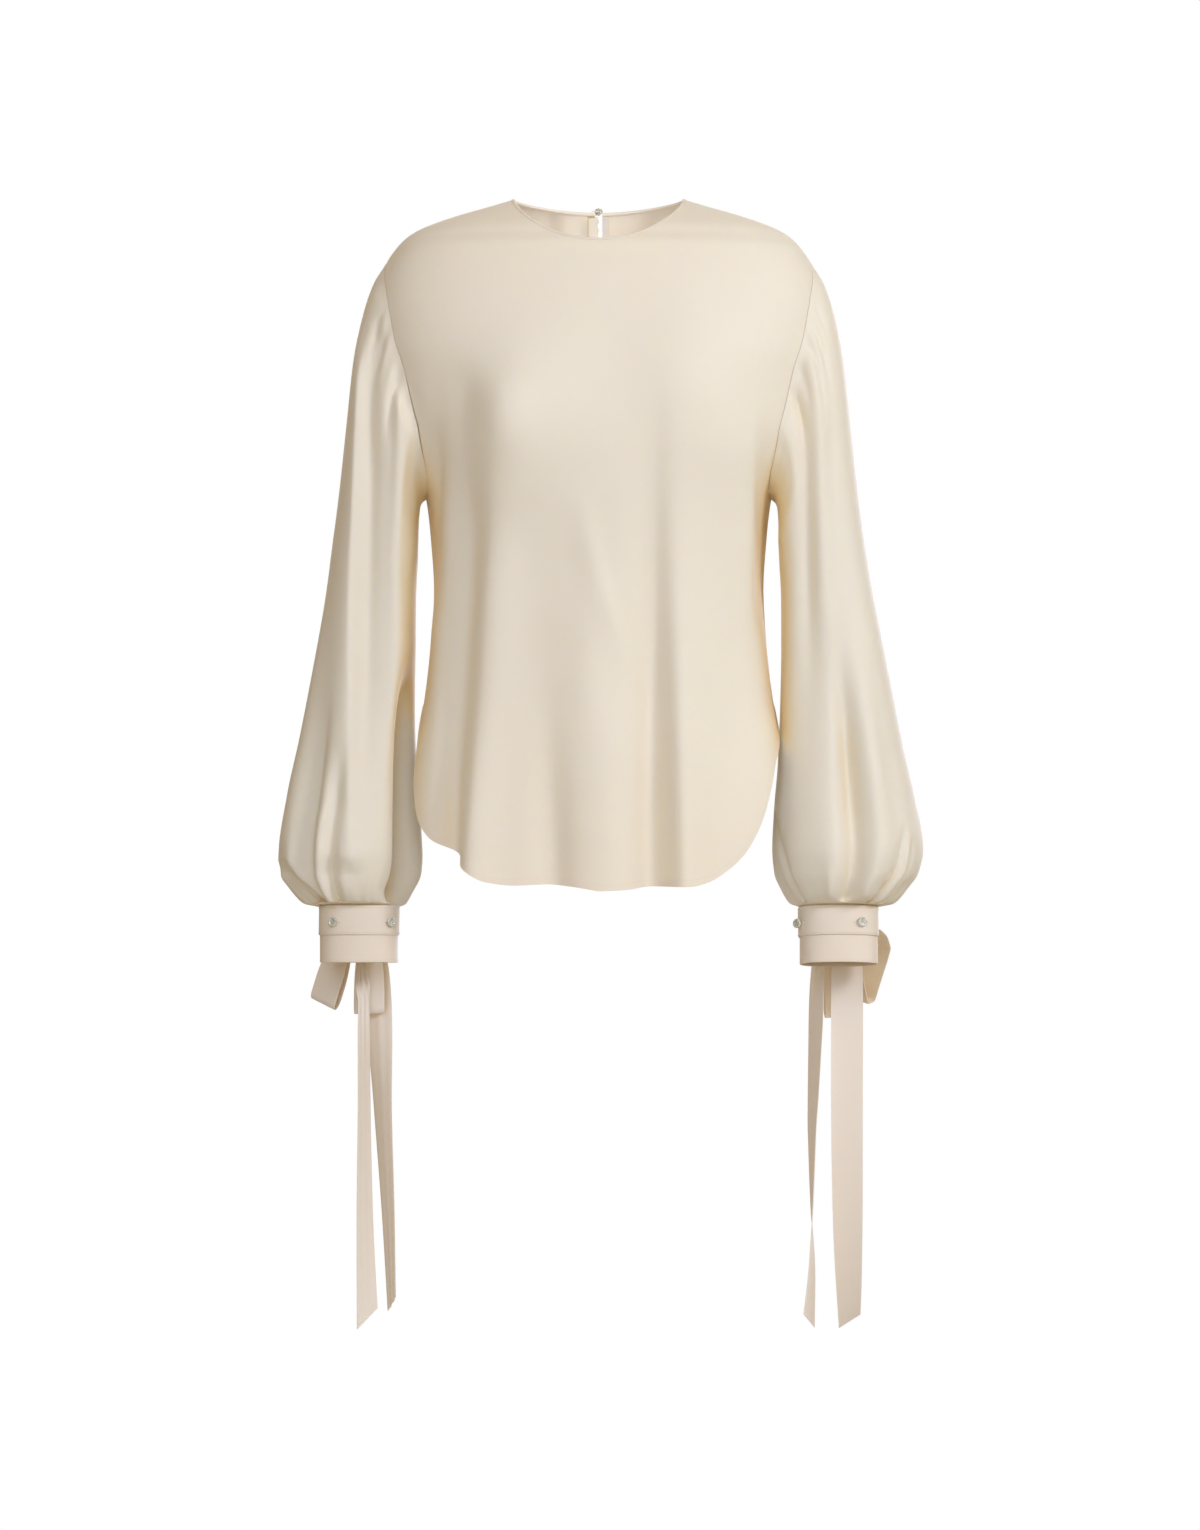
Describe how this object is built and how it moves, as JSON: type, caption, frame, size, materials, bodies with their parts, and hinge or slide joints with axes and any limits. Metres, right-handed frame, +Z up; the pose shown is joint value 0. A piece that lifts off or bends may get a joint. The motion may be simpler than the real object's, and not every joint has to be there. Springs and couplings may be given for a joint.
{
  "type": "long-sleeved silk blouse",
  "caption": "Round-necked ivory silk blouse in its worn form: bishop sleeves gathered into buttoned cuffs with bows and hanging tie ends, curved hem, back neck slit.",
  "frame": {"origin": "midway between the wearer's shoulders, at the middle height of the shoulder seams, where the wearer carries the blouse", "axes": "+X to the wearer's left, -Y to the front, +Z up"},
  "size_m": [0.6251, 0.228, 1.0931],
  "materials": {
    "silk": "ivory silk crepe with a soft sheen",
    "cuff_silk": "ivory silk crepe, doubled and pressed",
    "pearl": "polished shell buttons"
  },
  "bodies": {
    "root": {"front": "silk", "back": "silk", "neck_binding": "silk", "slit_edge_left": "silk", "slit_edge_right": "silk", "neck_loop": "silk", "sleeve_left": "silk", "sleeve_right": "silk", "cuff_left": "cuff_silk", "tie_band_left": "cuff_silk", "bow_knot_left": "cuff_silk", "bow_loop_outer_left": "cuff_silk", "bow_loop_inner_left": "cuff_silk", "tie_end_outer_left": "cuff_silk", "tie_end_inner_left": "cuff_silk", "cuff_right": "cuff_silk", "tie_band_right": "cuff_silk", "bow_knot_right": "cuff_silk", "bow_loop_outer_right": "cuff_silk", "bow_loop_inner_right": "cuff_silk", "tie_end_outer_right": "cuff_silk", "tie_end_inner_right": "cuff_silk", "neck_button": "pearl", "cuff_button_outer_left": "pearl", "cuff_button_inner_left": "pearl", "cuff_button_outer_right": "pearl", "cuff_button_inner_right": "pearl"}
  },
  "joints": []
}
